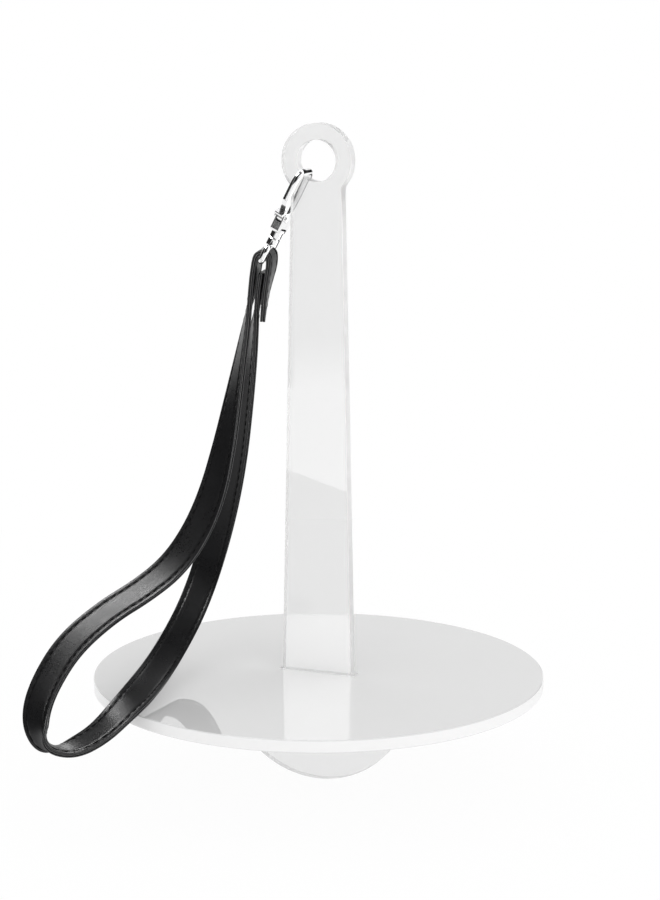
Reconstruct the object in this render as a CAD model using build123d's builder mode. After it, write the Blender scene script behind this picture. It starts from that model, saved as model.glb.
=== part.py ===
"""Yarn ball holder: a clear acrylic plate on an upright blade, with a wrist strap on a swivel snap hook.

Lengths are millimetres. The origin is the middle of the plate, at the lowest point of the foot, with +Z up.
The blade stands in the XZ plane. The ring at its top carries the snap hook, which leans towards -X.
"""

from build123d import *
import math
import os

# Acrylic sheet and its two cut pieces
sheet_thickness = 4.0
plate_radius = 75.0
foot_radius = 33.0
foot_corner_radius = 2.0
ring_radius = 12.0
ring_hole_radius = 6.75
ring_rise = 170.0
neck_width = 17.0
blade_width = 24.5
neck_fillet = 2.5
edge_break = 0.25
slot_end_clearance = 1.5
slot_side_clearance = 0.15
slot_corner_radius = 0.4

# Snap hook: a round bar bent over the ring, on a forked base. It leans on the edge of the blade
hook_wire_radius = 1.1
ring_clearance = 0.3
crest_side = -3.9
blade_side_clearance = 0.3
hook_reach = 21.7
spine_offset = 4.0
spine_foot_offset = 2.9
nose_offset = 7.0
nose_height = 11.8
nose_round = 0.3
nose_notch = 0.8
back_corner_radius = 2.6
front_corner_radius = 4.0
spine_bend_height = 12.0
spine_bend_radius = 18.0
base_height = 7.0
base_width = 3.2
base_front = 4.5
base_back = 4.2
base_round = 1.0
cheek_break = 0.3
collar_radius = 2.4
collar_height = 0.8

# Gate of the hook, on a riveted pin and a small compression spring
pin_radius = 0.7
pin_height = 5.2
pin_offset = 3.3
pin_head_radius = 1.0
pin_head_height = 0.7
pin_head_round = 0.3
pin_seat_clearance = 0.02
running_clearance = 0.06
gate_width = 1.8
gate_thickness = 1.4
gate_boss_radius = 1.3
gate_tip_gap = 0.1
gate_lip_clearance = 0.05
gate_side_clearance = 0.1
thumb_height = 8.0
thumb_length = 2.4
thumb_width = 3.0
thumb_thickness = 0.9
spring_height = 6.0
spring_mean_radius = 0.5
spring_wire_radius = 0.17
spring_turns = 4
spring_end_gap = 0.06
spring_pocket_clearance = 0.1
spring_pocket_depth = 2.4

# Swivel eye: a stem held in the base, a barrel, and the loop that the strap is folded over
stem_radius = 0.8
stem_head_radius = 1.2
stem_head_height = 0.8
stem_length = 2.0
barrel_radius = 2.0
barrel_length = 5.4
barrel_groove_radius = 1.7
barrel_groove_height = 0.7
swivel_gap = 0.1
eye_wire_radius = 1.05
eye_side_clearance = 0.6
eye_corner_radius = 1.6
eye_turn = 10.7
bar_drop = 10.4

# Strap: a flat band of two plies, folded over the bar of the eye, with its other end stitched in the fold
strap_width = 10.0
ply_thickness = 0.8
glue_line = 0.1
stations_per_face = 4
strap_checks = 800
# The middle of the band, from the tail round the fold and the loop to the end inside the fold.
# x, y and z count from the middle of the eye's bar, and the last value is the band's turn about its own line,
# in degrees, from where its width lies square to the plane that the loop hangs in.
loop_plane_turn = -30.0
strap_route = [
    (-0.9, 0.0, -20.4, 142),
    (-0.3, 0.2, -14.0, 139),
    (0.9, 0.3, -8.0, 134),
    (2.1, 0.4, -3.2, 130),
    (2.4, 0.4, 0.2, 129),
    (1.75, 0.3, 1.9, 136),
    (0.0, 0.0, 2.5, 175),
    (-1.7, -0.3, 1.9, 217),
    (-2.4, -0.4, 0.2, 229),
    (-3.0, -0.4, -3.6, 230),
    (-3.7, -0.7, -8.4, 228),
    (-4.5, -2.3, -14.6, 219),
    (-4.8, -5.1, -22.7, 209),
    (-5.5, -9.0, -34.1, 200),
    (-6.1, -13.6, -46.4, 189),
    (-6.8, -18.8, -59.8, 176),
    (-8.4, -24.2, -73.9, 162),
    (-11.6, -30.4, -86.2, 154),
    (-16.9, -37.0, -96.4, 153),
    (-23.8, -45.2, -103.2, 155),
    (-32.1, -55.2, -109.0, 155),
    (-39.8, -66.7, -117.6, 150),
    (-43.5, -76.4, -128.4, 155),
    (-43.6, -82.6, -136.4, 163),
    (-40.0, -86.5, -142.4, 174),
    (-34.6, -87.6, -145.0, 184),
    (-28.3, -85.3, -144.3, 187),
    (-22.4, -80.8, -140.6, 190),
    (-18.2, -74.4, -135.2, 197),
    (-16.8, -62.5, -131.2, 208),
    (-22.3, -37.2, -130.7, 218),
    (-24.8, -17.2, -125.4, 223),
    (-25.5, -4.4, -119.0, 228),
    (-24.6, 5.0, -108.6, 229),
    (-20.3, 8.8, -90.2, 213),
    (-14.7, 7.0, -69.5, 196),
    (-9.5, 3.4, -47.6, 178),
    (-5.6, 1.5, -30.2, 159),
    (-3.8, 0.5, -21.7, 148),
    (-2.5, 0.1, -14.2, 138),
    (-1.6, 0.0, -9.2, 133),
    (-0.5, 0.0, -4.6, 130),
]

plate_bottom = foot_radius
plate_top = plate_bottom + sheet_thickness
ring_height = plate_top + ring_rise
slot_length = 2 * (ring_radius + slot_end_clearance)
slot_width = sheet_thickness + 2 * slot_side_clearance
cut_overrun = sheet_thickness

# The wire over the ring lies in the hole, a clearance away from its wall
crest_radius = ring_hole_radius - hook_wire_radius - ring_clearance
crest_drop = math.sqrt(crest_radius**2 - crest_side**2)
# The hook leans until its base stands beside the edge of the blade
edge_taper = (blade_width - neck_width) / 2 / (ring_height - plate_bottom)
edge_side = neck_width / 2 + edge_taper * hook_reach
base_drop = hook_reach - base_height
hook_lean = math.asin((edge_side + blade_side_clearance + crest_side) / math.hypot(base_drop, base_width / 2))
hook_lean += math.atan2(base_width / 2, base_drop)
hook_up = Vector(math.sin(hook_lean), 0, math.cos(hook_lean))
hook_front = Vector(0, -1, 0)
hook_origin = Vector(crest_side, 0, ring_height - crest_drop) - hook_up * hook_reach
hook_plane = Plane(origin=hook_origin, x_dir=hook_front, z_dir=hook_up)
hook_side = Plane(origin=hook_origin, x_dir=hook_front, z_dir=hook_plane.y_dir * -1)
eye_front = hook_front.rotate(Axis((0, 0, 0), hook_up), eye_turn)
eye_plane = Plane(origin=hook_origin, x_dir=eye_front, z_dir=hook_up)
eye_side = Plane(origin=hook_origin, x_dir=eye_plane.x_dir, z_dir=eye_plane.y_dir * -1)
bar_middle = hook_origin - hook_up * bar_drop
loop_square = Vector(math.cos(math.radians(loop_plane_turn)), math.sin(math.radians(loop_plane_turn)), 0)

os.makedirs("parts", exist_ok=True)


# The plate drops over the ring and the blade and rests on the shoulders of the foot
with BuildPart() as plate:
    with BuildSketch(Plane.XY.offset(plate_bottom)):
        Circle(plate_radius)
        RectangleRounded(slot_length, slot_width, slot_corner_radius, mode=Mode.SUBTRACT)
    extrude(amount=sheet_thickness)
    chamfer(plate.edges().filter_by(GeomType.CIRCLE).sort_by(SortBy.RADIUS)[-2:], edge_break)
plate.part.label = "plate"
export_step(plate.part, "parts/plate.step")

# The blade, its ring and its half-round foot are cut from one sheet
with BuildPart() as blade:
    with BuildSketch(Plane.XZ) as outline:
        with BuildLine():
            Polyline(
                (-blade_width / 2, plate_bottom),
                (-neck_width / 2, ring_height),
                (neck_width / 2, ring_height),
                (blade_width / 2, plate_bottom),
                close=True,
            )
        make_face()
        with Locations((0, ring_height)):
            Circle(ring_radius)
        fillet(outline.vertices().group_by(Axis.Y)[1], neck_fillet)
        with BuildLine():
            CenterArc((0, foot_radius), foot_radius, 180, 180)
            Line((-foot_radius, foot_radius), (foot_radius, foot_radius))
        make_face()
        fillet(outline.vertices().sort_by(Axis.X)[0], foot_corner_radius)
        fillet(outline.vertices().sort_by(Axis.X)[-1], foot_corner_radius)
        with Locations((0, ring_height)):
            Circle(ring_hole_radius, mode=Mode.SUBTRACT)
    extrude(amount=sheet_thickness / 2, both=True)
blade.part.label = "spindle_blade"
export_step(blade.part, "parts/spindle_blade.step")

# The cast hook: a round bar goes up behind the ring, through its hole and down in front of it
gate_run = nose_offset - pin_offset
gate_rise = nose_height + nose_notch - pin_height
gate_slope = math.degrees(math.atan2(gate_run, gate_rise))
gate_length = math.hypot(gate_run, gate_rise)
gate_plane = Plane(hook_side.location * Location((pin_offset, pin_height, 0), (0, 0, -gate_slope)))
with BuildPart() as hook_body:
    with BuildLine(hook_side) as bar_line:
        FilletPolyline(
            (-spine_foot_offset, base_height / 2),
            (-spine_offset, spine_bend_height),
            (-spine_offset, hook_reach),
            (nose_offset, hook_reach),
            (nose_offset, nose_height),
            radius=[spine_bend_radius, back_corner_radius, front_corner_radius],
        )
    with BuildSketch(Plane(origin=bar_line.line @ 0, z_dir=bar_line.line % 0)):
        Circle(hook_wire_radius)
    sweep()
    fillet(hook_body.faces().sort_by(Axis(hook_origin, hook_front))[-1].edges(), nose_round)
    # The nose is cut away on its inner side, and the gate's tip comes to rest behind the lip that is left
    with BuildSketch(gate_plane):
        Circle(gate_length + gate_tip_gap)
        with Locations((gate_thickness / 2 + gate_lip_clearance, gate_length)):
            Rectangle(
                2 * gate_thickness,
                2 * gate_thickness,
                align=(Align.MAX, Align.CENTER),
                mode=Mode.INTERSECT,
            )
    extrude(amount=cut_overrun, both=True, mode=Mode.SUBTRACT)
    with BuildSketch(hook_side):
        with Locations(((base_front - base_back) / 2, base_height / 2)):
            RectangleRounded(base_front + base_back, base_height, base_round)
    extrude(amount=base_width / 2, both=True)
    cheek_edges = hook_body.edges().filter_by(hook_side).group_by(Axis(hook_origin, hook_up))[0]
    chamfer(cheek_edges, cheek_break)
    with BuildSketch(hook_plane):
        Circle(collar_radius)
    extrude(amount=collar_height)
    # The fork that the gate moves in, open at the top and the front
    fork_bottom = pin_height - gate_boss_radius - gate_side_clearance
    with BuildSketch(hook_side):
        with Locations((base_front, fork_bottom)):
            Rectangle(
                base_front - pin_offset + gate_boss_radius + gate_side_clearance,
                base_height,
                align=(Align.MAX, Align.MIN),
            )
    extrude(amount=gate_width / 2 + gate_side_clearance, both=True, mode=Mode.SUBTRACT)
    # The blind pocket of the spring, in the wall behind the gate
    spring_front = pin_offset - gate_boss_radius - gate_side_clearance
    pocket_mouth = hook_side.from_local_coords((spring_front, spring_height, 0))
    with BuildSketch(Plane(origin=pocket_mouth, z_dir=hook_front * -1)):
        Circle(spring_mean_radius + spring_wire_radius + spring_pocket_clearance)
    extrude(amount=spring_pocket_depth, mode=Mode.SUBTRACT)
    # The bore of the swivel's stem, with room above it for the stem's head
    with BuildSketch(hook_plane):
        Circle(stem_radius + running_clearance)
    extrude(amount=fork_bottom, mode=Mode.SUBTRACT)
    with BuildSketch(hook_plane.offset(stem_length)):
        Circle(stem_head_radius + running_clearance)
    extrude(amount=fork_bottom - stem_length + gate_side_clearance, mode=Mode.SUBTRACT)
    with BuildSketch(hook_side):
        with Locations((pin_offset, pin_height)):
            Circle(pin_radius + pin_seat_clearance)
    extrude(amount=cut_overrun, both=True, mode=Mode.SUBTRACT)
hook_body.part.label = "hook_body"
export_step(hook_body.part, "parts/hook_body.step")

# The gate lever closes the mouth below the nose, and its wide thumb ledge points away from the ring
with BuildPart() as gate:
    with BuildSketch(gate_plane):
        Circle(gate_boss_radius)
        with Locations((0, gate_length / 2)):
            SlotOverall(gate_length, gate_thickness, rotation=90)
    extrude(amount=gate_width / 2, both=True)
    ledge_height = (thumb_height - pin_height) / math.cos(math.radians(gate_slope))
    with BuildSketch(gate_plane):
        with Locations((0, ledge_height)):
            Rectangle(gate_thickness / 2 + thumb_length, thumb_thickness, align=(Align.MIN, Align.CENTER))
    extrude(amount=thumb_width / 2, both=True)
    outwards = Axis(gate_plane.origin, gate_plane.x_dir)
    ledge_end = gate.faces().filter_by(outwards).sort_by(outwards)[-1]
    fillet(ledge_end.edges(), thumb_thickness / 3)
    with BuildSketch(gate_plane):
        Circle(pin_radius + running_clearance)
    extrude(amount=cut_overrun, both=True, mode=Mode.SUBTRACT)
gate.part.label = "hook_gate"
export_step(gate.part, "parts/hook_gate.step")

# The rivet of the gate, with a low head on each cheek of the base
with BuildPart() as pin:
    with BuildSketch(hook_side):
        with Locations((pin_offset, pin_height)):
            Circle(pin_radius)
    extrude(amount=base_width / 2 + pin_head_height, both=True)
    for side in (1, -1):
        with BuildSketch(hook_side.offset(side * base_width / 2)):
            with Locations((pin_offset, pin_height)):
                Circle(pin_head_radius)
        extrude(amount=side * pin_head_height)
    for side in (0, -1):
        fillet(pin.faces().sort_by(Axis(hook_origin, hook_side.z_dir))[side].edges(), pin_head_round)
pin.part.label = "gate_pin"
export_step(pin.part, "parts/gate_pin.step")

# The spring stands in its pocket and bears on the boss of the gate
spring_low = spring_height - spring_mean_radius - spring_wire_radius - pin_height
spring_tip = pin_offset - math.sqrt(gate_boss_radius**2 - spring_low**2) - spring_end_gap
spring_root = spring_front - spring_pocket_depth + spring_end_gap
coil_height = spring_tip - spring_root - 2 * spring_wire_radius
with BuildPart() as spring:
    with BuildLine() as coil:
        Helix(
            pitch=coil_height / spring_turns,
            height=coil_height,
            radius=spring_mean_radius,
            center=hook_side.from_local_coords((spring_root + spring_wire_radius, spring_height, 0)),
            direction=hook_front,
        )
    with BuildSketch(Plane(origin=coil.line @ 0, z_dir=coil.line % 0)):
        Circle(spring_wire_radius)
    sweep(is_frenet=True)
spring.part.label = "gate_spring"
export_step(spring.part, "parts/gate_spring.step")

# The swivel eye turns in the base on its headed stem
with BuildPart() as eye:
    with BuildSketch(eye_side):
        with BuildLine():
            Polyline(
                (0, stem_length + running_clearance + stem_head_height),
                (stem_head_radius, stem_length + running_clearance + stem_head_height),
                (stem_head_radius, stem_length + running_clearance),
                (stem_radius, stem_length + running_clearance),
                (stem_radius, -swivel_gap),
                (barrel_radius, -swivel_gap),
                (barrel_radius, -barrel_length / 2 + barrel_groove_height / 2),
                (barrel_groove_radius, -barrel_length / 2),
                (barrel_radius, -barrel_length / 2 - barrel_groove_height / 2),
                (barrel_radius, -barrel_length),
                (0, -barrel_length),
                close=True,
            )
        make_face()
    revolve(axis=Axis(hook_origin, hook_up))
    eye_half = strap_width / 2 + eye_side_clearance + eye_wire_radius
    with BuildLine(eye_side) as loop_line:
        FilletPolyline(
            (eye_half, -barrel_length),
            (eye_half, -bar_drop),
            (-eye_half, -bar_drop),
            (-eye_half, -barrel_length),
            radius=eye_corner_radius,
            close=True,
        )
    with BuildSketch(Plane(origin=loop_line.line @ 0, z_dir=loop_line.line % 0)):
        Circle(eye_wire_radius)
    sweep()
eye.part.label = "swivel_eye"
export_step(eye.part, "parts/swivel_eye.step")


def across(tangent, turn):
    """Returns the direction of the band's width, square to its line, for a turn in degrees."""
    level = (loop_square - tangent * loop_square.dot(tangent)).normalized()
    upright = tangent.cross(level)
    return level * math.cos(math.radians(turn)) + upright * math.sin(math.radians(turn))


def ply(inner, outer):
    """Returns one ply of the strap, between two distances from the band's middle surface.

    Each of its four long faces is ruled between two corner lines, which run through the route's stations.
    """
    places = [bar_middle + Vector(x, y, z) for x, y, z, _ in strap_route]
    middle = Spline(*places, mode=Mode.PRIVATE)
    shares = [middle.param_at_point(place) for place in places]
    corners = ([], [], [], [])
    for (*_, turn), place, share in zip(strap_route, places, shares):
        width = across(middle % share, turn)
        normal = (middle % share).cross(width)
        half = width * (strap_width / 2)
        corners[0].append(place - half + normal * inner)
        corners[1].append(place + half + normal * inner)
        corners[2].append(place + half + normal * outer)
        corners[3].append(place - half + normal * outer)
    lines = [Edge.make_spline(line, parameters=shares) for line in corners]
    cuts = shares[:-1:stations_per_face] + shares[-1:]
    sides = []
    for start, end in zip(cuts, cuts[1:]):
        lengths = [line.trim(start, end) for line in lines]
        sides += [Face.make_surface_from_curves(lengths[i - 1], lengths[i]) for i in range(len(lengths))]
    ends = [Face(Wire.make_polygon([line[end] for line in corners])) for end in (0, -1)]
    with BuildPart() as band:
        add(Solid(Shell(sides + ends)))
    return band


outer_ply = ply(glue_line / 2, glue_line / 2 + ply_thickness)
outer_ply.part.label = "strap_outer"
export_step(outer_ply.part, "parts/strap_outer.step")
lining = ply(-glue_line / 2 - ply_thickness, -glue_line / 2)
lining.part.label = "strap_lining"
export_step(lining.part, "parts/strap_lining.step")

# The tightest bend of the strap's middle line, and the least gap between the coils of the spring
strap_line = Spline(*[bar_middle + Vector(x, y, z) for x, y, z, _ in strap_route])
strap_samples = [strap_line @ (step / strap_checks) for step in range(strap_checks + 1)]
bends = []
for before, here, after in zip(strap_samples, strap_samples[1:], strap_samples[2:]):
    area = (here - before).cross(after - before).length / 2
    bends.append((here - before).length * (after - here).length * (after - before).length / (4 * area))
coil_gap = coil_height / spring_turns - 2 * spring_wire_radius
print(f"strap length {strap_line.length:.1f}, tightest bend radius {min(bends):.2f}, coil gap {coil_gap:.2f}")
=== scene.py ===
"""Yarn ball holder: acrylic plate and blade, chromed snap hook and a stitched leather wrist strap.

Lengths are metres, in the object's own frame: +Z up, the blade in the XZ plane, the strap on the -X side.
"""

import logging
import math
from dataclasses import dataclass, field
from enum import Enum
from typing import ClassVar

import bpy
import numpy as np
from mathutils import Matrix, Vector


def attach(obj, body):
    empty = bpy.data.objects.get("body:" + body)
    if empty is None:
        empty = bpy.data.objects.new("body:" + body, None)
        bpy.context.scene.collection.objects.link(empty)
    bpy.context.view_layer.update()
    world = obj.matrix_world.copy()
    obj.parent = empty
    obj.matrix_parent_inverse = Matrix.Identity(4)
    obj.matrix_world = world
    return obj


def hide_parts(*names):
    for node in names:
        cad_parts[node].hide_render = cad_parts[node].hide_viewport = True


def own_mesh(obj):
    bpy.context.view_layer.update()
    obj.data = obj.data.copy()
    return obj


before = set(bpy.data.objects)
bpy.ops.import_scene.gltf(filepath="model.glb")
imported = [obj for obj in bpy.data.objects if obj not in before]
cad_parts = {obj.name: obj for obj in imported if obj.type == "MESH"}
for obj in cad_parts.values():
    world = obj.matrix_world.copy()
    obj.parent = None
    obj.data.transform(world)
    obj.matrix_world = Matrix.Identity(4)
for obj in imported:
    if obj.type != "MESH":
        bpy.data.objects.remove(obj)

logging.basicConfig(level=logging.INFO, format="%(message)s")
log = logging.getLogger("yarn ball holder")

MM = 0.001
Colour = tuple[float, float, float]
Range = tuple[float, float]
Corners = tuple[Range, ...]
Piece = bpy.types.Object
Material = bpy.types.Material
Tree = bpy.types.NodeTree
Node = bpy.types.Node
Socket = bpy.types.NodeSocket
Number = float | Socket
Tint = Colour | Socket

# Small helpers for meshes and shader nodes

FLOAT = "NodeSocketFloat"
VECTOR = "NodeSocketVector"
# The mix node's share and two colours, and its mixed colour, by number: other sockets have the same names
MIX_INPUTS = (0, 6, 7)
MIX_RESULT = 2
ONE_QUAD = np.array([[0, 1, 2, 3]])


def mesh_piece(name: str, points: np.ndarray, faces: np.ndarray, uv: np.ndarray | None = None) -> Piece:
    """Makes an object from arrays, smooth shaded and linked to the scene.

    Args:
        name: the object's name.
        points: vertex places, shape (n, 3), in metres.
        faces: quads as vertex numbers, shape (m, 4), or triangles, shape (m, 3).
        uv: one (u, v) for each face corner in face order, or None.

    Returns:
        The new object, at the origin.
    """
    count, sides = faces.shape
    mesh = bpy.data.meshes.new(name)
    mesh.vertices.add(len(points))
    mesh.vertices.foreach_set("co", np.asarray(points, np.float32).ravel())
    mesh.loops.add(count * sides)
    mesh.loops.foreach_set("vertex_index", faces.astype(np.int32).ravel())
    mesh.polygons.add(count)
    mesh.polygons.foreach_set("loop_start", np.arange(0, count * sides, sides, dtype=np.int32))
    mesh.polygons.foreach_set("loop_total", np.full(count, sides, np.int32))
    mesh.update(calc_edges=True)
    mesh.polygons.foreach_set("use_smooth", np.ones(count, bool))
    if uv is not None:
        mesh.uv_layers.new(name="UVMap").data.foreach_set("uv", uv.astype(np.float32).ravel())
    mesh.validate()
    piece = bpy.data.objects.new(name, mesh)
    bpy.context.scene.collection.objects.link(piece)
    return piece


def grid_faces(rows: int, columns: int, wrap_columns: bool = False) -> np.ndarray:
    """Returns the quads of a grid whose vertices are numbered row by row.

    Args:
        rows: rows of vertices.
        columns: vertices in each row.
        wrap_columns: joins the last column to the first.

    Returns:
        Vertex numbers, shape (m, 4).
    """
    row = np.arange(rows - 1)[:, None]
    column = np.arange(columns if wrap_columns else columns - 1)[None, :]
    after = (column + 1) % columns
    low, high = row * columns, (row + 1) * columns
    quads = np.stack([low + column, low + after, high + after, high + column], axis=-1)
    return quads.reshape(-1, 4)


class Graph:
    """Builds the nodes of one material or node group with short calls."""

    def __init__(self, tree: Tree) -> None:
        """Keeps the tree that nodes go into.

        Args:
            tree: the tree of a material, a world or a node group.
        """
        self.tree = tree

    def feed(self, node: Node, inputs: dict) -> None:
        """Fills inputs of a node.

        Args:
            node: the node.
            inputs: a value or an output socket for each named or numbered input.
        """
        for key, value in inputs.items():
            if isinstance(value, Socket):
                self.tree.links.new(value, node.inputs[key])
            else:
                node.inputs[key].default_value = value

    def node(self, kind: str, inputs: dict | None = None, **settings) -> Node:
        """Adds a node.

        Args:
            kind: the node's type.
            inputs: a value or an output socket for each named or numbered input.
            settings: properties of the node.

        Returns:
            The new node.
        """
        made = self.tree.nodes.new(kind)
        for key, value in settings.items():
            setattr(made, key, value)
        self.feed(made, inputs or {})
        return made

    def maths(self, operation: str, *values: Number) -> Socket:
        """Works out one operation on numbers.

        Args:
            operation: its name, such as MULTIPLY.
            values: the numbers, or output sockets.

        Returns:
            The result.
        """
        return self.node("ShaderNodeMath", dict(enumerate(values)), operation=operation).outputs[0]

    def vector(self, operation: str, inputs: dict) -> Socket:
        """Works out one operation on vectors.

        Args:
            operation: its name, such as ADD.
            inputs: a value or an output socket for each input.

        Returns:
            The result.
        """
        return self.node("ShaderNodeVectorMath", inputs, operation=operation).outputs[0]

    def span(self, value: Number, low: float, high: float, start: float, end: float) -> Socket:
        """Carries a value from one range into another and keeps it inside.

        Args:
            value: the number, or an output socket.
            low: the value that becomes start.
            high: the value that becomes end.
            start: one end of the new range.
            end: the other end.

        Returns:
            The result.
        """
        inputs = {"Value": value, "From Min": low, "From Max": high, "To Min": start, "To Max": end}
        return self.node("ShaderNodeMapRange", inputs, clamp=True).outputs[0]

    def mix(self, share: Number, first: Tint, second: Tint) -> Socket:
        """Mixes two colours.

        Args:
            share: how much of the second colour there is, from 0 to 1.
            first: a colour, or an output socket.
            second: a colour, or an output socket.

        Returns:
            The mixed colour.
        """
        colours = [tint if isinstance(tint, Socket) else (*tint, 1.0) for tint in (first, second)]
        inputs = dict(zip(MIX_INPUTS, (share, *colours)))
        return self.node("ShaderNodeMix", inputs, data_type="RGBA").outputs[MIX_RESULT]


def new_group(name: str, inputs: dict[str, str], outputs: dict[str, str]) -> tuple[Tree, Graph]:
    """Makes an empty shader node group.

    Args:
        name: the group's name.
        inputs: socket type for each input's name.
        outputs: socket type for each output's name.

    Returns:
        The group and a graph to fill it with.
    """
    tree = bpy.data.node_groups.new(name, "ShaderNodeTree")
    for in_out, sockets in (("INPUT", inputs), ("OUTPUT", outputs)):
        for socket, kind in sockets.items():
            tree.interface.new_socket(name=socket, in_out=in_out, socket_type=kind)
    return tree, Graph(tree)


def cloud_group() -> Tree:
    """Makes the group for soft uneven patches, such as smudges and colour drift.

    Its mask is fractal noise at the given size, stretched to run from 0 to 1.

    Returns:
        The node group.
    """
    contrast = (0.32, 0.68)
    sockets = {"Vector": VECTOR, "Size": FLOAT, "Detail": FLOAT}
    tree, graph = new_group("soft patches", sockets, {"Mask": FLOAT})
    given = graph.node("NodeGroupInput")
    inputs = {
        "Vector": given.outputs["Vector"],
        "Scale": graph.maths("DIVIDE", 1.0, given.outputs["Size"]),
        "Detail": given.outputs["Detail"],
        "Roughness": 0.55,
    }
    noise = graph.node("ShaderNodeTexNoise", inputs)
    graph.node("NodeGroupOutput", {"Mask": graph.span(noise.outputs["Fac"], *contrast, 0.0, 1.0)})
    return tree


def grain_group() -> Tree:
    """Makes the group for leather grain: small raised cells with creases between them.

    The height is the distance to the nearest cell edge, flattened on top, plus a little finer noise.

    Returns:
        The node group.
    """
    noise_middle = (0.5, 0.5, 0.5)
    dome_reach = 0.28
    fine_scale = 3.0
    fine_height = 0.35
    sockets = {"Vector": VECTOR, "Size": FLOAT}
    tree, graph = new_group("leather grain", sockets, {"Height": FLOAT, "Crease": FLOAT})
    given = graph.node("NodeGroupInput")
    vector, size = given.outputs["Vector"], given.outputs["Size"]
    scale = graph.maths("DIVIDE", 1.0, size)
    bend = graph.node("ShaderNodeTexNoise", {"Vector": vector, "Scale": scale, "Detail": 2.0})
    shift = graph.vector("SUBTRACT", {0: bend.outputs["Color"], 1: noise_middle})
    place = graph.vector("ADD", {0: vector, 1: graph.vector("SCALE", {0: shift, "Scale": size})})
    cell_inputs = {"Vector": place, "Scale": scale}
    cells = graph.node("ShaderNodeTexVoronoi", cell_inputs, feature="DISTANCE_TO_EDGE")
    dome = graph.span(cells.outputs["Distance"], 0.0, dome_reach, 0.0, 1.0)
    finer = graph.maths("MULTIPLY", scale, fine_scale)
    fine = graph.node("ShaderNodeTexNoise", {"Vector": place, "Scale": finer})
    height = graph.maths("ADD", dome, graph.maths("MULTIPLY", fine.outputs["Fac"], fine_height))
    graph.node("NodeGroupOutput", {"Height": height, "Crease": graph.maths("SUBTRACT", 1.0, dome)})
    return tree


def streak_group() -> Tree:
    """Makes the group for fine parallel lines, such as the marks of a cut edge.

    The height is noise that is drawn out along one axis by the given stretch.

    Returns:
        The node group.
    """
    sockets = {"Vector": VECTOR, "Size": FLOAT, "Stretch": VECTOR}
    tree, graph = new_group("fine streaks", sockets, {"Height": FLOAT})
    given = graph.node("NodeGroupInput")
    scale = graph.maths("DIVIDE", 1.0, given.outputs["Size"])
    drawn = graph.vector("MULTIPLY", {0: given.outputs["Vector"], 1: given.outputs["Stretch"]})
    noise = graph.node("ShaderNodeTexNoise", {"Vector": drawn, "Scale": scale, "Detail": 3.0})
    graph.node("NodeGroupOutput", {"Height": noise.outputs["Fac"]})
    return tree


@dataclass
class Effects:
    """The node groups that several finishes share, each built once."""

    patches: Tree = field(default_factory=cloud_group)
    grain: Tree = field(default_factory=grain_group)
    streaks: Tree = field(default_factory=streak_group)


def cleared(owner: Material | bpy.types.World) -> Graph:
    """Switches on the nodes of a material or world and removes those that it came with.

    Args:
        owner: the material or world.

    Returns:
        Its empty graph.
    """
    owner.use_nodes = True
    owner.node_tree.nodes.clear()
    return Graph(owner.node_tree)


@dataclass(frozen=True)
class Finish:
    """A finish that a material is made from. Each kind has its own surface."""

    name: str

    def build(self, effects: Effects) -> Material:
        """Builds the material.

        Args:
            effects: the shared node groups.

        Returns:
            The material.
        """
        material = bpy.data.materials.new(self.name)
        graph = cleared(material)
        shader = graph.node("ShaderNodeBsdfPrincipled")
        graph.node("ShaderNodeOutputMaterial", {"Surface": shader.outputs[0]})
        graph.feed(shader, self.surface(graph, effects))
        return material

    def surface(self, graph: Graph, effects: Effects) -> dict:
        """Builds the nodes of the finish.

        Args:
            graph: the material's graph.
            effects: the shared node groups.

        Returns:
            A value or an output socket for each input of the shader.
        """
        raise NotImplementedError


def placed(graph: Graph, group: Tree, **inputs) -> Node:
    """Places a node group in a graph with its own values.

    Args:
        graph: the graph.
        group: the node group.
        inputs: a value or an output socket for each of the group's inputs.

    Returns:
        The node that holds the group.
    """
    return graph.node("ShaderNodeGroup", inputs, node_tree=group)


class Axis(Enum):
    """An axis of the model's frame, by its number."""

    X = 0
    Y = 1
    Z = 2


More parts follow.
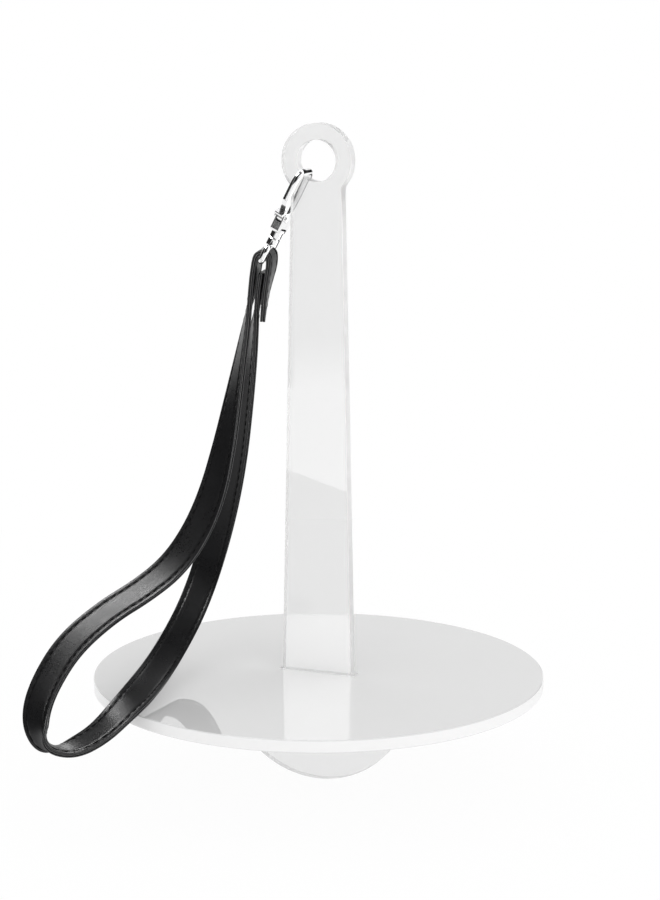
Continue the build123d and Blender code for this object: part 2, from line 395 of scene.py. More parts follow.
@dataclass(frozen=True)
class AcrylicFinish(Finish):
    """Polished clear acrylic sheet, with cut edges that keep the fine marks of the cutter.

    Edges glow a little, in place of the light that a real sheet carries to them. Those that face +X, the lit
    side, glow more where they are seen directly, and most of all below lit_top, where the sheet is long. The
    other two glows lift the sheet where it is seen mirrored, or through clear acrylic, its own included. All
    of them are tuned to the one view that the camera has.
    """

    face_axis: Axis
    face_colour: Colour = (0.7, 0.7, 0.7)
    edge_colour: Colour = (0.85, 0.85, 0.85)
    edge_facing: Range = (0.55, 0.85)
    smudge_colour: Colour = (0.84, 0.845, 0.85)
    smudge_share: float = 0.05
    transmission: float = 0.08
    refraction: float = 1.49
    gloss: float = 0.8
    polish: Range = (0.012, 0.02)
    dust_roughness: float = 0.008
    edge_roughness: float = 0.35
    mark_stretch: float = 0.04
    edge_glow: float = 0.08
    lit_edge_glow: float = 0.0
    lit_facing: Range = (0.6, 1.0)
    lit_top: float = 0.196
    lit_fade: float = 0.003
    lit_share_above: float = 0.35
    mirrored_glow: float = 0.0
    through_glow: float = 0.0

    def surface(self, graph: Graph, effects: Effects) -> dict:
        """Builds the nodes of the acrylic finish."""
        coordinates = graph.node("ShaderNodeTexCoord")
        place = coordinates.outputs["Object"]
        normal = graph.node("ShaderNodeSeparateXYZ", {0: coordinates.outputs["Normal"]})
        facing = graph.maths("ABSOLUTE", normal.outputs[self.face_axis.value])
        edge = graph.span(facing, *self.edge_facing, 1.0, 0.0)
        smudge = placed(graph, effects.patches, Vector=place, Size=0.035, Detail=4.0).outputs[0]
        dust = placed(graph, effects.patches, Vector=place, Size=0.0016, Detail=2.0).outputs[0]
        drawn = self.mark_stretch
        stretch = (1.0, 1.0, drawn) if self.face_axis is Axis.Z else (1.0, drawn, 1.0)
        marks = placed(graph, effects.streaks, Vector=place, Size=0.0011, Stretch=stretch).outputs[0]
        smudged = graph.maths("MULTIPLY", smudge, self.smudge_share)
        tint = graph.mix(smudged, self.face_colour, self.smudge_colour)
        rough = graph.span(smudge, 0.0, 1.0, *self.polish)
        rough = graph.maths("ADD", rough, graph.maths("MULTIPLY", dust, self.dust_roughness))
        rough = graph.maths("ADD", rough, graph.maths("MULTIPLY", edge, self.edge_roughness))
        relief = graph.maths("MULTIPLY", marks, edge)
        bump = graph.node("ShaderNodeBump", {"Strength": 0.04, "Distance": 0.00002, "Height": relief})
        rays = graph.node("ShaderNodeLightPath")
        height = graph.node("ShaderNodeSeparateXYZ", {0: place}).outputs[Axis.Z.value]
        above = self.lit_share_above * self.lit_edge_glow
        level = graph.span(height, self.lit_top - self.lit_fade, self.lit_top, self.lit_edge_glow, above)
        lit = graph.span(normal.outputs[Axis.X.value], *self.lit_facing, 0.0, 1.0)
        lit = graph.maths("MULTIPLY", lit, level)
        lit = graph.maths("MULTIPLY", lit, rays.outputs["Is Camera Ray"])
        glow = graph.maths("MULTIPLY", edge, graph.maths("ADD", lit, self.edge_glow))
        outside = graph.span(rays.outputs["Transmission Depth"], 0.0, 1.0, 1.0, 0.0)
        mirrored = graph.maths("MULTIPLY", rays.outputs["Is Glossy Ray"], outside)
        glow = graph.maths("MULTIPLY_ADD", mirrored, self.mirrored_glow, glow)
        glow = graph.maths("MULTIPLY_ADD", rays.outputs["Is Transmission Ray"], self.through_glow, glow)
        return {
            "Base Color": graph.mix(edge, tint, self.edge_colour),
            "Roughness": rough,
            "Normal": bump.outputs[0],
            "Emission Color": glow,
            "Emission Strength": 1.0,
            "IOR": self.refraction,
            "Specular IOR Level": self.gloss,
            "Transmission Weight": self.transmission,
        }


@dataclass(frozen=True)
class PlatedFinish(Finish):
    """Bright plating on die-cast metal, with faint ripples and fine handling marks."""

    colour: Colour = (0.93, 0.93, 0.935)
    dull_tone: float = 0.86
    dull_share: float = 0.4
    roughness: float = 0.07
    mark_roughness: float = 0.08
    ripple: float = 0.00002

    def surface(self, graph: Graph, effects: Effects) -> dict:
        """Builds the nodes of the plated finish."""
        place = graph.node("ShaderNodeTexCoord").outputs["Object"]
        patches = placed(graph, effects.patches, Vector=place, Size=0.0035, Detail=3.0).outputs[0]
        marks = placed(graph, effects.patches, Vector=place, Size=0.0004, Detail=1.0).outputs[0]
        dull = tuple(self.dull_tone * value for value in self.colour)
        share = graph.maths("MULTIPLY", patches, self.dull_share)
        bump = graph.node("ShaderNodeBump", {"Strength": 0.3, "Distance": self.ripple, "Height": patches})
        return {
            "Base Color": graph.mix(share, self.colour, dull),
            "Roughness": graph.span(marks, 0.0, 1.0, self.roughness, self.roughness + self.mark_roughness),
            "Normal": bump.outputs[0],
            "Metallic": 1.0,
        }


@dataclass(frozen=True)
class LeatherFinish(Finish):
    """Black leather with a fine grain, paler creases, a dull seam line with painted shade, and grey cut
    edges.
    """

    colour: Colour = (0.005, 0.005, 0.0055)
    crease_colour: Colour = (0.010, 0.010, 0.011)
    crease_share: float = 0.7
    crease_roughness: float = 0.12
    worn_colour: Colour = (0.011, 0.011, 0.012)
    worn_share: float = 0.5
    sheen: Range = (0.25, 0.31)
    edge_colour: Colour = (0.2, 0.2, 0.202)
    edge_start: float = 0.00014
    edge_end: float = 0.0003
    grain_size: float = 0.00055
    half_width: float = 0.005
    # Painted shade: the near-black colour laid along each seam line, where its groove would be in shade.
    groove_shade_colour: Colour = (0.002, 0.002, 0.002)
    seam_inset: float = 0.00145
    seam_width: float = 0.0005
    seam_roughness: float = 0.22

    def surface(self, graph: Graph, effects: Effects) -> dict:
        """Builds the nodes of the leather finish. Its pattern follows the UV map, whose unit is a metre."""
        place = graph.node("ShaderNodeTexCoord").outputs["UV"]
        across = graph.node("ShaderNodeSeparateXYZ", {0: place}).outputs[Axis.Y.value]
        off_centre = graph.maths("ABSOLUTE", across)
        edge_range = (self.half_width + self.edge_start, self.half_width + self.edge_end)
        edge = graph.span(off_centre, *edge_range, 0.0, 1.0)
        grain = placed(graph, effects.grain, Vector=place, Size=self.grain_size)
        crease = grain.outputs["Crease"]
        patches = placed(graph, effects.patches, Vector=place, Size=0.012, Detail=3.0).outputs[0]
        creased = graph.maths("MULTIPLY", crease, self.crease_share)
        colour = graph.mix(creased, self.colour, self.crease_colour)
        colour = graph.mix(graph.maths("MULTIPLY", patches, self.worn_share), colour, self.worn_colour)
        seam_line = self.half_width - self.seam_inset
        off_seam = graph.maths("ABSOLUTE", graph.maths("SUBTRACT", off_centre, seam_line))
        seam = graph.span(off_seam, self.seam_width / 4, self.seam_width / 2, 1.0, 0.0)
        # Painted shade: the seam line along each row of stitches is darkened, as if its groove were in
        # shade.
        colour = graph.mix(seam, colour, self.groove_shade_colour)
        rough = graph.span(patches, 0.0, 1.0, *self.sheen)
        rough = graph.maths("ADD", rough, graph.maths("MULTIPLY", crease, self.crease_roughness))
        rough = graph.maths("ADD", rough, graph.maths("MULTIPLY", seam, self.seam_roughness))
        relief = {"Strength": 0.35, "Distance": 0.00004, "Height": grain.outputs["Height"]}
        return {
            "Base Color": graph.mix(edge, colour, self.edge_colour),
            "Roughness": rough,
            "Normal": graph.node("ShaderNodeBump", relief).outputs[0],
            "Specular IOR Level": 0.25,
        }


@dataclass(frozen=True)
class ThreadFinish(Finish):
    """Twisted sewing thread, whose strands show as slanted ridges along each stitch."""

    colour: Colour = (0.002, 0.002, 0.002)
    high_colour: Colour = (0.008, 0.008, 0.009)
    roughness: Range = (0.6, 0.8)

    def surface(self, graph: Graph, effects: Effects) -> dict:
        """Builds the nodes of the thread finish. In its UV map u runs along the stitch and v round it."""
        place = graph.node("ShaderNodeTexCoord")
        strands = graph.node(
            "ShaderNodeTexWave",
            {"Vector": place.outputs["UV"], "Scale": 1.6, "Distortion": 0.4, "Detail": 1.0},
            bands_direction="DIAGONAL",
        )
        fuzz = placed(graph, effects.patches, Vector=place.outputs["Object"], Size=0.0003, Detail=2.0)
        relief = {"Strength": 0.6, "Distance": 0.00006, "Height": strands.outputs["Fac"]}
        return {
            "Base Color": graph.mix(strands.outputs["Fac"], self.colour, self.high_colour),
            "Roughness": graph.span(fuzz.outputs[0], 0.0, 1.0, *self.roughness),
            "Normal": graph.node("ShaderNodeBump", relief).outputs[0],
            "Specular IOR Level": 0.15,
        }


@dataclass(frozen=True)
class BoardFinish(Finish):
    """The pressed fibre layer between the two skins, a grey line with darker fibres in it."""

    colour: Colour = (0.28, 0.278, 0.275)
    dark_tone: float = 0.5
    drawn_out: float = 0.12
    roughness: Range = (0.75, 0.95)

    def surface(self, graph: Graph, effects: Effects) -> dict:
        """Builds the nodes of the board finish."""
        place = graph.node("ShaderNodeTexCoord").outputs["UV"]
        stretch = (self.drawn_out, 1.0, 1.0)
        fibres = placed(graph, effects.streaks, Vector=place, Size=0.0004, Stretch=stretch).outputs[0]
        dark = tuple(self.dark_tone * value for value in self.colour)
        relief = {"Strength": 0.4, "Distance": 0.00005, "Height": fibres}
        return {
            "Base Color": graph.mix(fibres, dark, self.colour),
            "Roughness": graph.span(fibres, 0.0, 1.0, *self.roughness),
            "Normal": graph.node("ShaderNodeBump", relief).outputs[0],
        }


class StrapSide(Enum):
    """A face of the strap: the grained outer skin or the lining."""

    OUTER = 1
    LINING = -1


@dataclass
class WristStrap:
    """A flat strap, folded over the bar of the snap hook's eye, hangs in a loop and ends inside the fold.

    The route gives the middle of the band from the tail's cut end, in millimetres from the middle of the
    eye's bar. The last value is the band's turn about its own line, in degrees, from where its width lies
    square to the plane that the loop hangs in.
    """

    bar_middle: tuple[float, float, float] = (-18.72, 0.0, 174.864)
    fold_rise: float = 0.0014
    loop_plane_turn: float = -30.0
    width: float = 0.010
    skin: float = 0.00074
    core: float = 0.00022
    corner: float = 0.00022
    core_inset: float = 0.00012
    core_short: float = 0.0001
    stitch_inset: float = 0.00145
    stitch_margin: float = 0.0035
    stitch_pitch: float = 0.0029
    stitch_length: float = 0.0021
    thread_radius: float = 0.00021
    groove_depth: float = 0.00016
    groove_reach: float = 0.0004
    spline_steps: ClassVar[int] = 12
    spline_order: ClassVar[int] = 3
    body: str = "strap"
    route: tuple[tuple[float, float, float, float], ...] = (
        (-0.9, 0.0, -20.4, 142),
        (-0.3, 0.2, -14.0, 139),
        (0.9, 0.3, -8.0, 134),
        (2.1, 0.4, -3.2, 130),
        (2.4, 0.4, 0.2, 129),
        (1.75, 0.3, 1.9, 136),
        (0.0, 0.0, 2.5, 175),
        (-1.7, -0.3, 1.9, 217),
        (-2.4, -0.4, 0.2, 229),
        (-3.0, -0.4, -3.6, 230),
        (-3.7, -0.7, -8.4, 228),
        (-4.5, -2.3, -14.6, 219),
        (-4.8, -5.1, -22.7, 209),
        (-5.5, -9.0, -34.1, 200),
        (-6.1, -13.6, -46.4, 189),
        (-6.8, -18.8, -59.8, 176),
        (-8.4, -24.2, -73.9, 162),
        (-11.6, -30.4, -86.2, 154),
        (-16.9, -37.0, -96.4, 153),
        (-23.8, -45.2, -103.2, 155),
        (-32.1, -55.2, -109.0, 155),
        (-39.8, -66.7, -117.6, 150),
        (-43.5, -76.4, -128.4, 155),
        (-43.6, -82.6, -136.4, 163),
        (-40.0, -86.5, -142.4, 174),
        (-34.6, -87.6, -145.0, 184),
        (-28.3, -85.3, -144.3, 187),
        (-22.4, -80.8, -140.6, 190),
        (-18.2, -74.4, -135.2, 197),
        (-16.8, -62.5, -131.2, 208),
        (-22.3, -37.2, -130.7, 218),
        (-24.8, -17.2, -125.4, 223),
        (-25.5, -4.4, -119.0, 228),
        (-24.6, 5.0, -108.6, 229),
        (-20.3, 8.8, -90.2, 213),
        (-14.7, 7.0, -69.5, 196),
        (-9.5, 3.4, -47.6, 178),
        (-5.6, 1.5, -30.2, 159),
        (-3.8, 0.5, -21.7, 148),
        (-2.5, 0.1, -14.2, 138),
        (-1.6, 0.0, -9.2, 133),
        (-0.5, 0.0, -4.6, 130),
    )

    def __post_init__(self) -> None:
        """Reads the strap's middle line from its spline and works out how the band turns along it."""
        table = np.array(self.route)
        controls = (np.array(self.bar_middle) + table[:, :3]) * MM
        self.points = self.read_spline(controls)
        self.widths = self.band_widths(controls, table[:, 3])
        steps = np.linalg.norm(np.diff(self.points, axis=0), axis=1)
        self.along = np.concatenate([[0.0], np.cumsum(steps)])

    @classmethod
    def read_spline(cls, controls: np.ndarray) -> np.ndarray:
        """Reads the points of the smooth line through the strap's route.

        Args:
            controls: the spline's control points, in metres.

        Returns:
            Points along the line, in metres.
        """
        curve = bpy.data.curves.new("strap_line", "CURVE")
        curve.dimensions = "3D"
        curve.resolution_u = cls.spline_steps
        spline = curve.splines.new("NURBS")
        spline.points.add(len(controls) - 1)
        spline.points.foreach_set("co", np.column_stack([controls, np.ones(len(controls))]).ravel())
        spline.order_u = cls.spline_order
        spline.use_endpoint_u = True
        holder = bpy.data.objects.new("strap_line", curve)
        mesh = bpy.data.meshes.new_from_object(holder)
        points = np.empty(len(mesh.vertices) * 3, np.float32)
        mesh.vertices.foreach_get("co", points)
        bpy.data.objects.remove(holder)
        bpy.data.curves.remove(curve)
        bpy.data.meshes.remove(mesh)
        return points.reshape(-1, 3).astype(float)

    def band_widths(self, controls: np.ndarray, turns: np.ndarray) -> np.ndarray:
        """Works out the direction of the band's width at each point of its line.

        At a control point the width is the level direction square to the loop's plane, made square to the
        line and turned about it. Between control points it follows the spline's own quadratic weights.

        Args:
            controls: the spline's control points, in metres.
            turns: the band's turn at each control point, in degrees.

        Returns:
            Unit vectors, shape (n, 3).
        """
        tangents = np.gradient(controls, axis=0)
        tangents /= np.linalg.norm(tangents, axis=1)[:, None]
        angle = math.radians(self.loop_plane_turn)
        square = np.array([math.cos(angle), math.sin(angle), 0.0])
        level = square - tangents * (tangents @ square)[:, None]
        level /= np.linalg.norm(level, axis=1)[:, None]
        upright = np.cross(tangents, level)
        turn = np.radians(turns)[:, None]
        widths = level * np.cos(turn) + upright * np.sin(turn)
        count = len(controls)
        knots = np.concatenate([[0, 0], np.arange(count - 1), [count - 2, count - 2]]).astype(float)
        place = np.linspace(0, count - 2, len(self.points))
        span = np.minimum(place.astype(int), count - 3)
        local = place - span
        low, high = knots[span + 1], knots[span + 4]
        start, end = knots[span + 2], knots[span + 3]
        first = (end - place) ** 2 / ((end - low) * (end - start))
        last = (place - start) ** 2 / ((high - start) * (end - start))
        middle = 1.0 - first - last
        weights = (first, middle, last)
        found = sum(widths[span + step] * weight[:, None] for step, weight in enumerate(weights))
        line = self.tangents()
        found -= line * np.einsum("ij,ij->i", found, line)[:, None]
        return found / np.linalg.norm(found, axis=1)[:, None]

    def tangents(self) -> np.ndarray:
        """Returns the unit direction of the line at each of its points."""
        slopes = np.gradient(self.points, axis=0)
        return slopes / np.linalg.norm(slopes, axis=1)[:, None]

    def surface(self, along: np.ndarray, across: np.ndarray, lift: np.ndarray) -> np.ndarray:
        """Carries places on the flat band to the hanging strap.

        A place is the line's point, plus the width's direction times the distance across, plus the band's
        normal, which is the tangent crossed with the width, times the lift.

        Args:
            along: distance along the strap, in metres.
            across: distance across from the middle.
            lift: distance above the middle surface.

        Returns:
            Points, shape (..., 3).
        """
        line = self.tangents()
        normals = np.cross(line, self.widths)
        result = np.zeros(along.shape + (3,))
        for column in range(3):
            point = np.interp(along, self.along, self.points[:, column])
            width = np.interp(along, self.along, self.widths[:, column])
            normal = np.interp(along, self.along, normals[:, column])
            result[..., column] = point + width * across + normal * lift
        return result

    def skin_profile(self) -> tuple[np.ndarray, np.ndarray, np.ndarray]:
        """Works out the rounded outline of one skin, with a soft groove under each row of stitches.

        It is a rectangle with rounded outer corners, and its outer face dips by a bell curve at each row.

        Returns:
            For each corner of the outline its distance across, its height above the skin's inner face, and
            the distance across measured over the surface, which runs on down the cut edges.
        """
        face_points, corner_points, inner_points = 49, 5, 13
        half, corner = self.width / 2, self.corner
        shoulder = self.skin - corner
        face = np.linspace(-half + corner, half - corner, face_points)
        row = half - self.stitch_inset
        bells = [np.exp(-(((face - place) / self.groove_reach) ** 2)) for place in (row, -row)]
        dip = self.groove_depth * sum(bells)
        quarter = np.linspace(0, math.pi / 2, corner_points)[1:-1]
        right = (half - corner + corner * np.sin(quarter), shoulder + corner * np.cos(quarter))
        left = (-half + corner - corner * np.cos(quarter), shoulder + corner * np.sin(quarter))
        inner = np.linspace(half, -half, inner_points)[1:-1]
        across = np.concatenate([face, right[0], [half, half], inner, [-half, -half], left[0]])
        flat = np.zeros(len(inner))
        lift = np.concatenate([self.skin - dip, right[1], [shoulder, 0], flat, [0, shoulder], left[1]])
        walls = np.where(np.abs(across) > half - corner, self.skin - lift, 0.0)
        return across, lift, across + np.sign(across) * np.where(lift > 0.0, walls, 0.0)

    def tube(
        self, name: str, across: np.ndarray, lift: np.ndarray, pattern: np.ndarray, ends: tuple[float, float]
    ) -> Piece:
        """Carries a closed outline along the strap and closes both ends.

        Args:
            name: the piece's name.
            across: the outline's distances across.
            lift: the outline's heights.
            pattern: the outline's distances for the UV map.
            ends: how far each end stays short of the line's end.

        Returns:
            The piece, with a UV map in metres: along, and across.
        """
        spots = self.along[(self.along > ends[0]) & (self.along < self.along[-1] - ends[1])]
        spots = np.concatenate([[ends[0]], spots, [self.along[-1] - ends[1]]])
        rows, columns = len(spots), len(across)
        spread = np.zeros((rows, columns))
        points = self.surface(spots[:, None] + spread, across + spread, lift + spread).reshape(-1, 3)
        faces = grid_faces(rows, columns, wrap_columns=True)
        run = np.repeat(spots, columns)
        side = np.tile(pattern, rows)
        centres = np.array([points[:columns].mean(0), points[-columns:].mean(0)])
        points = np.vstack([points, centres])
        run = np.append(run, [spots[0], spots[-1]])
        side = np.append(side, [0.0, 0.0])
        ring = np.arange(columns)
        after = (ring + 1) % columns
        start_cap = np.stack([ring, after, np.full(columns, rows * columns)], 1)[:, ::-1]
        last = (rows - 1) * columns
        end_cap = np.stack([last + ring, last + after, np.full(columns, rows * columns + 1)], 1)
        triangles = np.vstack([faces[:, [0, 1, 2]], faces[:, [0, 2, 3]], start_cap, end_cap])
        uv = np.stack([run[triangles], side[triangles]], -1)
        return mesh_piece(name, points, triangles, uv.reshape(-1, 2))

    def build_skin(self, side: StrapSide, finish: Material) -> Piece:
        """Builds one skin of the strap.

        Args:
            side: which face of the strap the skin is.
            finish: its material.

        Returns:
            The piece.
        """
        across, lift, pattern = self.skin_profile()
        base = self.core / 2
        if side is StrapSide.OUTER:
            name, node, lifts = "strap_outer_skin", "strap_outer", base + lift
        else:
            name, node, lifts = "strap_inner_skin", "strap_lining", -base - lift
            across, lifts, pattern = across[::-1], lifts[::-1], pattern[::-1]
        piece = self.tube(name, across, lifts, pattern, (0.0, 0.0))
        piece.data.materials.append(finish)
        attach(piece, self.body)
        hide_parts(node)
        return piece

    def build_core(self, finish: Material) -> Piece:
        """Builds the fibre layer between the skins, which shows as a thin line at the cut edges.

        Args:
            finish: its material.

        Returns:
            The piece.
        """
        half = self.width / 2 - self.core_inset
        across = np.array([-half, 0.0, half, half, 0.0, -half])
        lift = self.core / 2 * np.array([1, 1, 1, -1, -1, -1])
        piece = self.tube("strap_core", across, lift, across, (self.core_short, self.core_short))
        piece.data.materials.append(finish)
        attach(piece, self.body)
        return piece

    def build_stitches(self, side: StrapSide, finish: Material) -> Piece:
        """Builds both rows of stitches on one face.

        Each stitch is a thread that rises out of its hole, lies along the groove and goes down again. Its
        middle height is the half power of a sine along its length, and its round section has eight sides.

        Args:
            side: which face of the strap the stitches lie on.
            finish: their material.

        Returns:
            The piece.
        """
        steps, sides = 9, 8
        hole, sink, bow = 0.02, 0.75, 1.3
        thin_end, swell = 0.35, 1.6
        margin = self.stitch_margin
        starts = np.arange(margin, self.along[-1] - margin - self.stitch_length, self.stitch_pitch)
        share = np.linspace(0, 1, steps)
        rise = np.sqrt(np.sin(math.pi * np.clip(share, hole, 1 - hole))) - sink
        turn = np.arange(sides) / sides * 2 * math.pi
        along = starts[:, None, None] + self.stitch_length * share[None, :, None] + 0 * turn[None, None, :]
        girth = np.clip(thin_end + swell * np.sin(math.pi * share), thin_end, 1.0)
        thin = self.thread_radius * girth[None, :, None]
        base = self.core / 2 + self.skin - self.groove_depth
        row = self.width / 2 - self.stitch_inset
        all_points, all_faces, all_uv = [], [], []
        block = grid_faces(steps, sides, wrap_columns=True)
        for rows_side in (-1, 1):
            across = rows_side * row + thin * np.cos(turn) + 0 * along
            height = base + self.thread_radius * bow * rise[None, :, None] + thin * np.sin(turn)
            lift = height * side.value + 0 * along
            points = self.surface(along, across, lift).reshape(-1, 3)
            offset = sum(len(done) for done in all_points)
            order = block if side is StrapSide.LINING else block[:, ::-1]
            faces = (np.arange(len(starts))[:, None, None] * steps * sides + order[None]).reshape(-1, 4)
            lengths = (along - starts[:, None, None]).reshape(-1) / self.thread_radius
            rounds = np.tile(np.arange(sides), len(starts) * steps).astype(float)
            all_uv.append(np.stack([lengths[faces], rounds[faces]], -1).reshape(-1, 2))
            all_points.append(points)
            all_faces.append(faces + offset)
        name = "stitches_outer" if side is StrapSide.OUTER else "stitches_inner"
        piece = mesh_piece(name, np.vstack(all_points), np.vstack(all_faces), np.vstack(all_uv))
        piece.data.materials.append(finish)
        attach(piece, self.body)
        return piece

    def build(self, leather: Material, board: Material, thread: Material) -> None:
        """Args:
            leather: the skins' material.
            board: the core's material.
            thread: the stitches' material.
        """
        outer = self.build_skin(StrapSide.OUTER, leather)
        lining = self.build_skin(StrapSide.LINING, leather)
        core = self.build_core(board)
        stitches = [self.build_stitches(side, thread) for side in StrapSide]
        soft = [outer, lining, core, *stitches]
        for piece in soft:
            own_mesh(piece)
        log.info("strap: %.1f mm long, %d pieces", self.along[-1] / MM, len(soft))


@dataclass
class CarriedNodes:
    """The rigid pieces of the model, which keep their shapes and get their materials here."""

    def dress(self, finishes: dict[str, Material]) -> None:
        """Gives each node its material.

        Args:
            finishes: the material for each node's name.
        """
        for node, finish in finishes.items():
            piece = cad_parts[node]
            piece.data.materials.clear()
            piece.data.materials.append(finish)
            log.info("node %s: %s", node, finish.name)


@dataclass(frozen=True)
class CurvedCard:
    """A card that stands round the object. Headings are degrees from the front, and the right is positive.

    Its tone fades to the foot's tone, if that is given, over the lowest part.
    """

    name: str
    start: float
    end: float
    radius: float
    low: float
    high: float
    tone: float
    foot: float | None = None


@dataclass(frozen=True)
class FlatCard:
    """A card on the floor: its name, its tone and its corners as seen from above."""

    name: str
    tone: float
    corners: Corners


@dataclass
class Studio:
    """A pale floor, soft light and the camera at the photograph's angle."""

    camera_place: tuple[float, float, float] = (0.2731, -0.6866, 0.2539)
    turn_degrees: float = 21.69
    yaw_degrees: float = 0.293
    pitch_degrees: float = 10.848
    focal_pixels: float = 2287.4
    image_width: float = 660.0
    sensor_width: float = 36.0
    seen_range: Range = (0.01, 60.0)
    lamp_aim: tuple[float, float, float] = (0.0, 0.0, 0.1)
    floor_half: float = 20.0
    floor_shadow: Range = (0.1, 0.4)
    floor_white: float = 0.955
    diffuse_white: float = 0.95
    ceiling_start: Range = (0.36, 0.6)
    ceiling_tone: float = 0.12
    cards: tuple[CurvedCard, ...] = (
        CurvedCard("dark card left", -116.0, -22.8, 0.81, 0.0, 1.3, 0.02),
        CurvedCard("grey card front", -22.8, -12.0, 0.81, 0.0, 1.3, 0.42, foot=2.3),
        CurvedCard("dark card front", -12.0, 60.0, 0.81, 0.0, 1.3, 0.02),
        CurvedCard("dark card right", 108.0, 168.0, 0.81, 0.0, 1.3, 0.02),
        CurvedCard("bright card left", -147.0, -128.0, 0.81, 0.45, 0.75, 10.0),
        CurvedCard("grey card behind", -178.0, -116.0, 0.9, 0.0, 0.4, 1.0),
        CurvedCard("grey card right", 60.0, 128.0, 0.9, 0.0, 0.4, 0.7),
    )
    card_fade: float = 0.035
    card_points: int = 33
    floor_cards: tuple[FlatCard, ...] = (
        FlatCard(
            "dark card on the floor",
            0.02,
            ((-0.24, -0.508), (-0.12, -0.408), (-0.045, -0.19), (-0.115, -0.19)),
        ),
        FlatCard(
            "bright card on the floor",
            2.3,
            ((-0.24, -0.508), (-0.38, -0.76), (-0.22, -0.76), (-0.12, -0.408)),
        ),
        FlatCard(
            "dark card behind on the floor",
            0.02,
            ((-0.08, 0.17), (0.45, 0.12), (0.5, 0.37), (-0.05, 0.38)),
        ),
    )
    floor_card_height: float = 0.001

    def build_camera(self) -> None:
        """Makes the camera and sets it as the scene's."""
        data = bpy.data.cameras.new("camera")
        data.sensor_fit = "HORIZONTAL"
        data.sensor_width = self.sensor_width
        data.lens = self.focal_pixels / self.image_width * self.sensor_width
        data.clip_start, data.clip_end = self.seen_range
        camera = bpy.data.objects.new("camera", data)
        bpy.context.scene.collection.objects.link(camera)
        heading = math.radians(self.turn_degrees - self.yaw_degrees)
        pitch = math.radians(self.pitch_degrees)
        level = math.cos(pitch)
        forward = Vector((-math.sin(heading) * level, math.cos(heading) * level, -math.sin(pitch)))
        camera.rotation_euler = forward.to_track_quat("-Z", "Y").to_euler()
        camera.location = self.camera_place
        bpy.context.scene.camera = camera

    def build_floor(self) -> None:
        """Makes the floor, which takes the object's shadow near it and is plain white further out."""
        half = self.floor_half
        corners = np.array([[-half, -half, 0], [half, -half, 0], [half, half, 0], [-half, half, 0]])
        floor = mesh_piece("floor", corners, ONE_QUAD)
        material = bpy.data.materials.new("pale floor")
        graph = cleared(material)
        place = graph.node("ShaderNodeTexCoord")
        distance = graph.node("ShaderNodeVectorMath", {0: place.outputs["Object"]}, operation="LENGTH")
        far = graph.span(distance.outputs["Value"], *self.floor_shadow, self.floor_white, 1.0)
        seen = self.seen_rays(graph, graph.node("ShaderNodeLightPath"))
        diffuse = graph.node("ShaderNodeBsdfDiffuse", {"Color": (0.97, 0.97, 0.97, 1)})
        glow = graph.node("ShaderNodeEmission", {"Color": (1, 1, 1, 1), "Strength": 1.0})
        share = graph.maths("MULTIPLY", far, seen)
        both = graph.node("ShaderNodeMixShader", {0: share, 1: diffuse.outputs[0], 2: glow.outputs[0]})
        graph.node("ShaderNodeOutputMaterial", {"Surface": both.outputs[0]})
        floor.data.materials.append(material)

    @staticmethod
    def seen_rays(graph: Graph, rays: Node) -> Socket:
        """Tells rays that show a surface, also mirrored or through glass, from those that only light it.

        Args:
            graph: the graph.
            rays: its light path node.

        Returns:
            1 for rays that show it, or else 0.
        """
        seen = graph.maths("MAXIMUM", rays.outputs["Is Camera Ray"], rays.outputs["Is Glossy Ray"])
        return graph.maths("MAXIMUM", seen, rays.outputs["Is Transmission Ray"])

    def build_world(self) -> None:
        """Makes an even white surround, softer as light, with a dark ceiling that only mirrors show."""
        world = bpy.data.worlds.new("studio")
        bpy.context.scene.world = world
        graph = cleared(world)
        rays = graph.node("ShaderNodeLightPath")
        soft = graph.span(self.seen_rays(graph, rays), 0.0, 1.0, self.diffuse_white, 1.0)
        place = graph.node("ShaderNodeTexCoord")
        height = graph.node("ShaderNodeSeparateXYZ", {0: place.outputs["Generated"]})
        ceiling = graph.span(height.outputs[Axis.Z.value], *self.ceiling_start, 1.0, self.ceiling_tone)
        dark = graph.maths("SUBTRACT", 1.0, ceiling)
        mirrored = graph.maths("MULTIPLY", dark, rays.outputs["Is Glossy Ray"])
        strength = graph.maths("SUBTRACT", soft, mirrored)
        light = graph.node("ShaderNodeBackground", {"Color": (1, 1, 1, 1), "Strength": strength})
        graph.node("ShaderNodeOutputWorld", {"Surface": light.outputs[0]})

    def build_light(self, name: str, place: Vector, size: float, watts: float, mirrored: bool) -> None:
        """Makes one square soft light that looks at the middle of the object.

        Args:
            name: the light's name.
            place: where it stands, in metres.
            size: the length of its side, in metres.
            watts: its power.
            mirrored: whether it only shines back from glossy surfaces, or else only lights them softly.
        """
        data = bpy.data.lights.new(name, "AREA")
        data.size = size
        data.energy = watts
        lamp = bpy.data.objects.new(name, data)
        lamp.location = place
        lamp.rotation_euler = (Vector(self.lamp_aim) - place).to_track_quat("-Z", "Y").to_euler()
        lamp.visible_glossy = mirrored
        lamp.visible_diffuse = not mirrored
        bpy.context.scene.collection.objects.link(lamp)

    def build_card(self, card: CurvedCard) -> None:
        """Makes a curved card round the object, which is only seen mirrored in bright surfaces.

        The card is part of an upright cylinder: a point is the radius turned to its heading, at a height
        between the lower and the upper edge.

        Args:
            card: its place, size and tone.
        """
        headings = np.radians(np.linspace(card.start, card.end, self.card_points))
        ring = np.stack([np.sin(headings), -np.cos(headings)], 1) * card.radius
        low = np.column_stack([ring, np.full(len(ring), card.low)])
        high = np.column_stack([ring, np.full(len(ring), card.high)])
        foot = card.tone if card.foot is None else card.foot
        self.stage_card(card.name, np.vstack([low, high]), grid_faces(2, len(ring)), card.tone, foot)

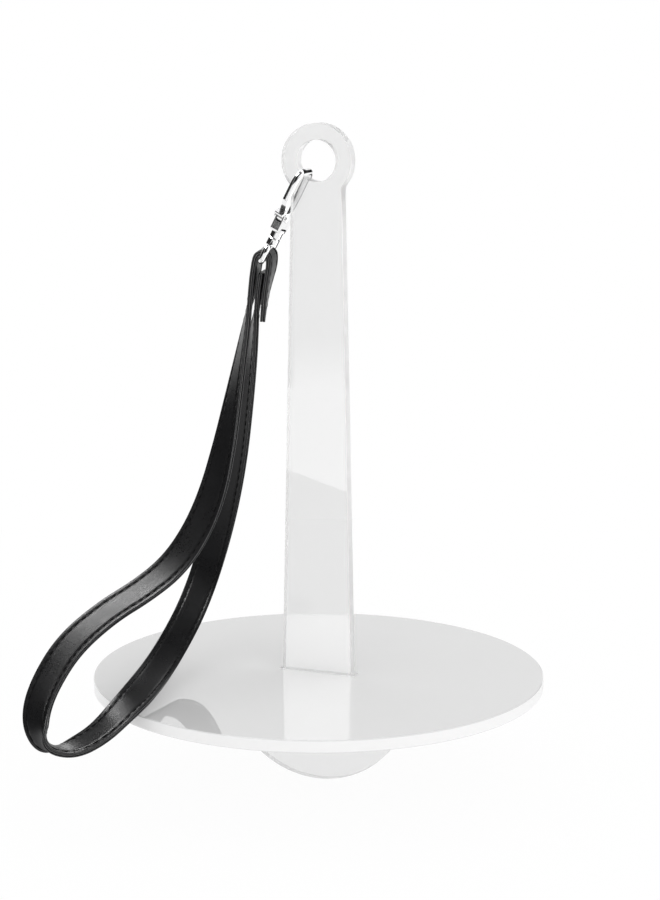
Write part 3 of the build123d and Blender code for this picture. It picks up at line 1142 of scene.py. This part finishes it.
    def stage_card(self, name: str, points: np.ndarray, faces: np.ndarray, tone: float, foot: float) -> None:
        """Makes one card, which only mirrors show.

        Args:
            name: the card's name.
            points: its corners, in metres.
            faces: its quads.
            tone: how bright it is, where 1 is white.
            foot: how bright it is at the floor.
        """
        piece = mesh_piece(name, points, faces)
        material = bpy.data.materials.new(name)
        graph = cleared(material)
        place = graph.node("ShaderNodeTexCoord")
        height = graph.node("ShaderNodeSeparateXYZ", {0: place.outputs["Object"]})
        strength = graph.span(height.outputs[Axis.Z.value], 0.0, self.card_fade, foot, tone)
        shine = graph.node("ShaderNodeEmission", {"Color": (1, 1, 1, 1), "Strength": strength})
        graph.node("ShaderNodeOutputMaterial", {"Surface": shine.outputs[0]})
        piece.data.materials.append(material)
        piece.visible_camera = False
        piece.visible_diffuse = False
        piece.visible_shadow = False
        piece.visible_transmission = False

    def build(self) -> None:
        """Builds the whole studio."""
        bpy.context.scene.view_settings.view_transform = "Standard"
        self.build_camera()
        self.build_floor()
        self.build_world()
        top_place = Vector((-0.235, -0.11, 0.966))
        self.build_light("top light", top_place, size=0.3, watts=10.0, mirrored=True)
        fill_place = Vector((1.3, -0.6, 1.0))
        self.build_light("fill light", fill_place, size=1.4, watts=4.0, mirrored=False)
        for card in self.cards:
            self.build_card(card)
        for card in self.floor_cards:
            corners = np.array([(*corner, self.floor_card_height) for corner in card.corners])
            self.stage_card(card.name, corners, ONE_QUAD, card.tone, card.tone)


def main() -> None:
    """Builds every piece in order."""
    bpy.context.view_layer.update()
    effects = Effects()
    plate_finish = AcrylicFinish("clear acrylic plate", Axis.Z, gloss=1.0, through_glow=0.35).build(effects)
    blade_finish = AcrylicFinish(
        "clear acrylic blade",
        Axis.Y,
        face_colour=(0.88, 0.88, 0.88),
        transmission=0.9,
        gloss=0.95,
        edge_colour=(0.8, 0.8, 0.8),
        lit_edge_glow=0.3,
        mirrored_glow=0.75,
    ).build(effects)
    plated = PlatedFinish("bright plated metal").build(effects)
    spring = PlatedFinish("drawn spring steel", colour=(0.55, 0.55, 0.56), roughness=0.25).build(effects)
    CarriedNodes().dress(
        {
            "plate": plate_finish,
            "spindle_blade": blade_finish,
            "hook_body": plated,
            "hook_gate": plated,
            "gate_pin": plated,
            "swivel_eye": plated,
            "gate_spring": spring,
        }
    )
    WristStrap().build(
        LeatherFinish("black grained leather").build(effects),
        BoardFinish("fibre core").build(effects),
        ThreadFinish("black sewing thread").build(effects),
    )
    Studio().build()


if __name__ == "__main__":
    main()
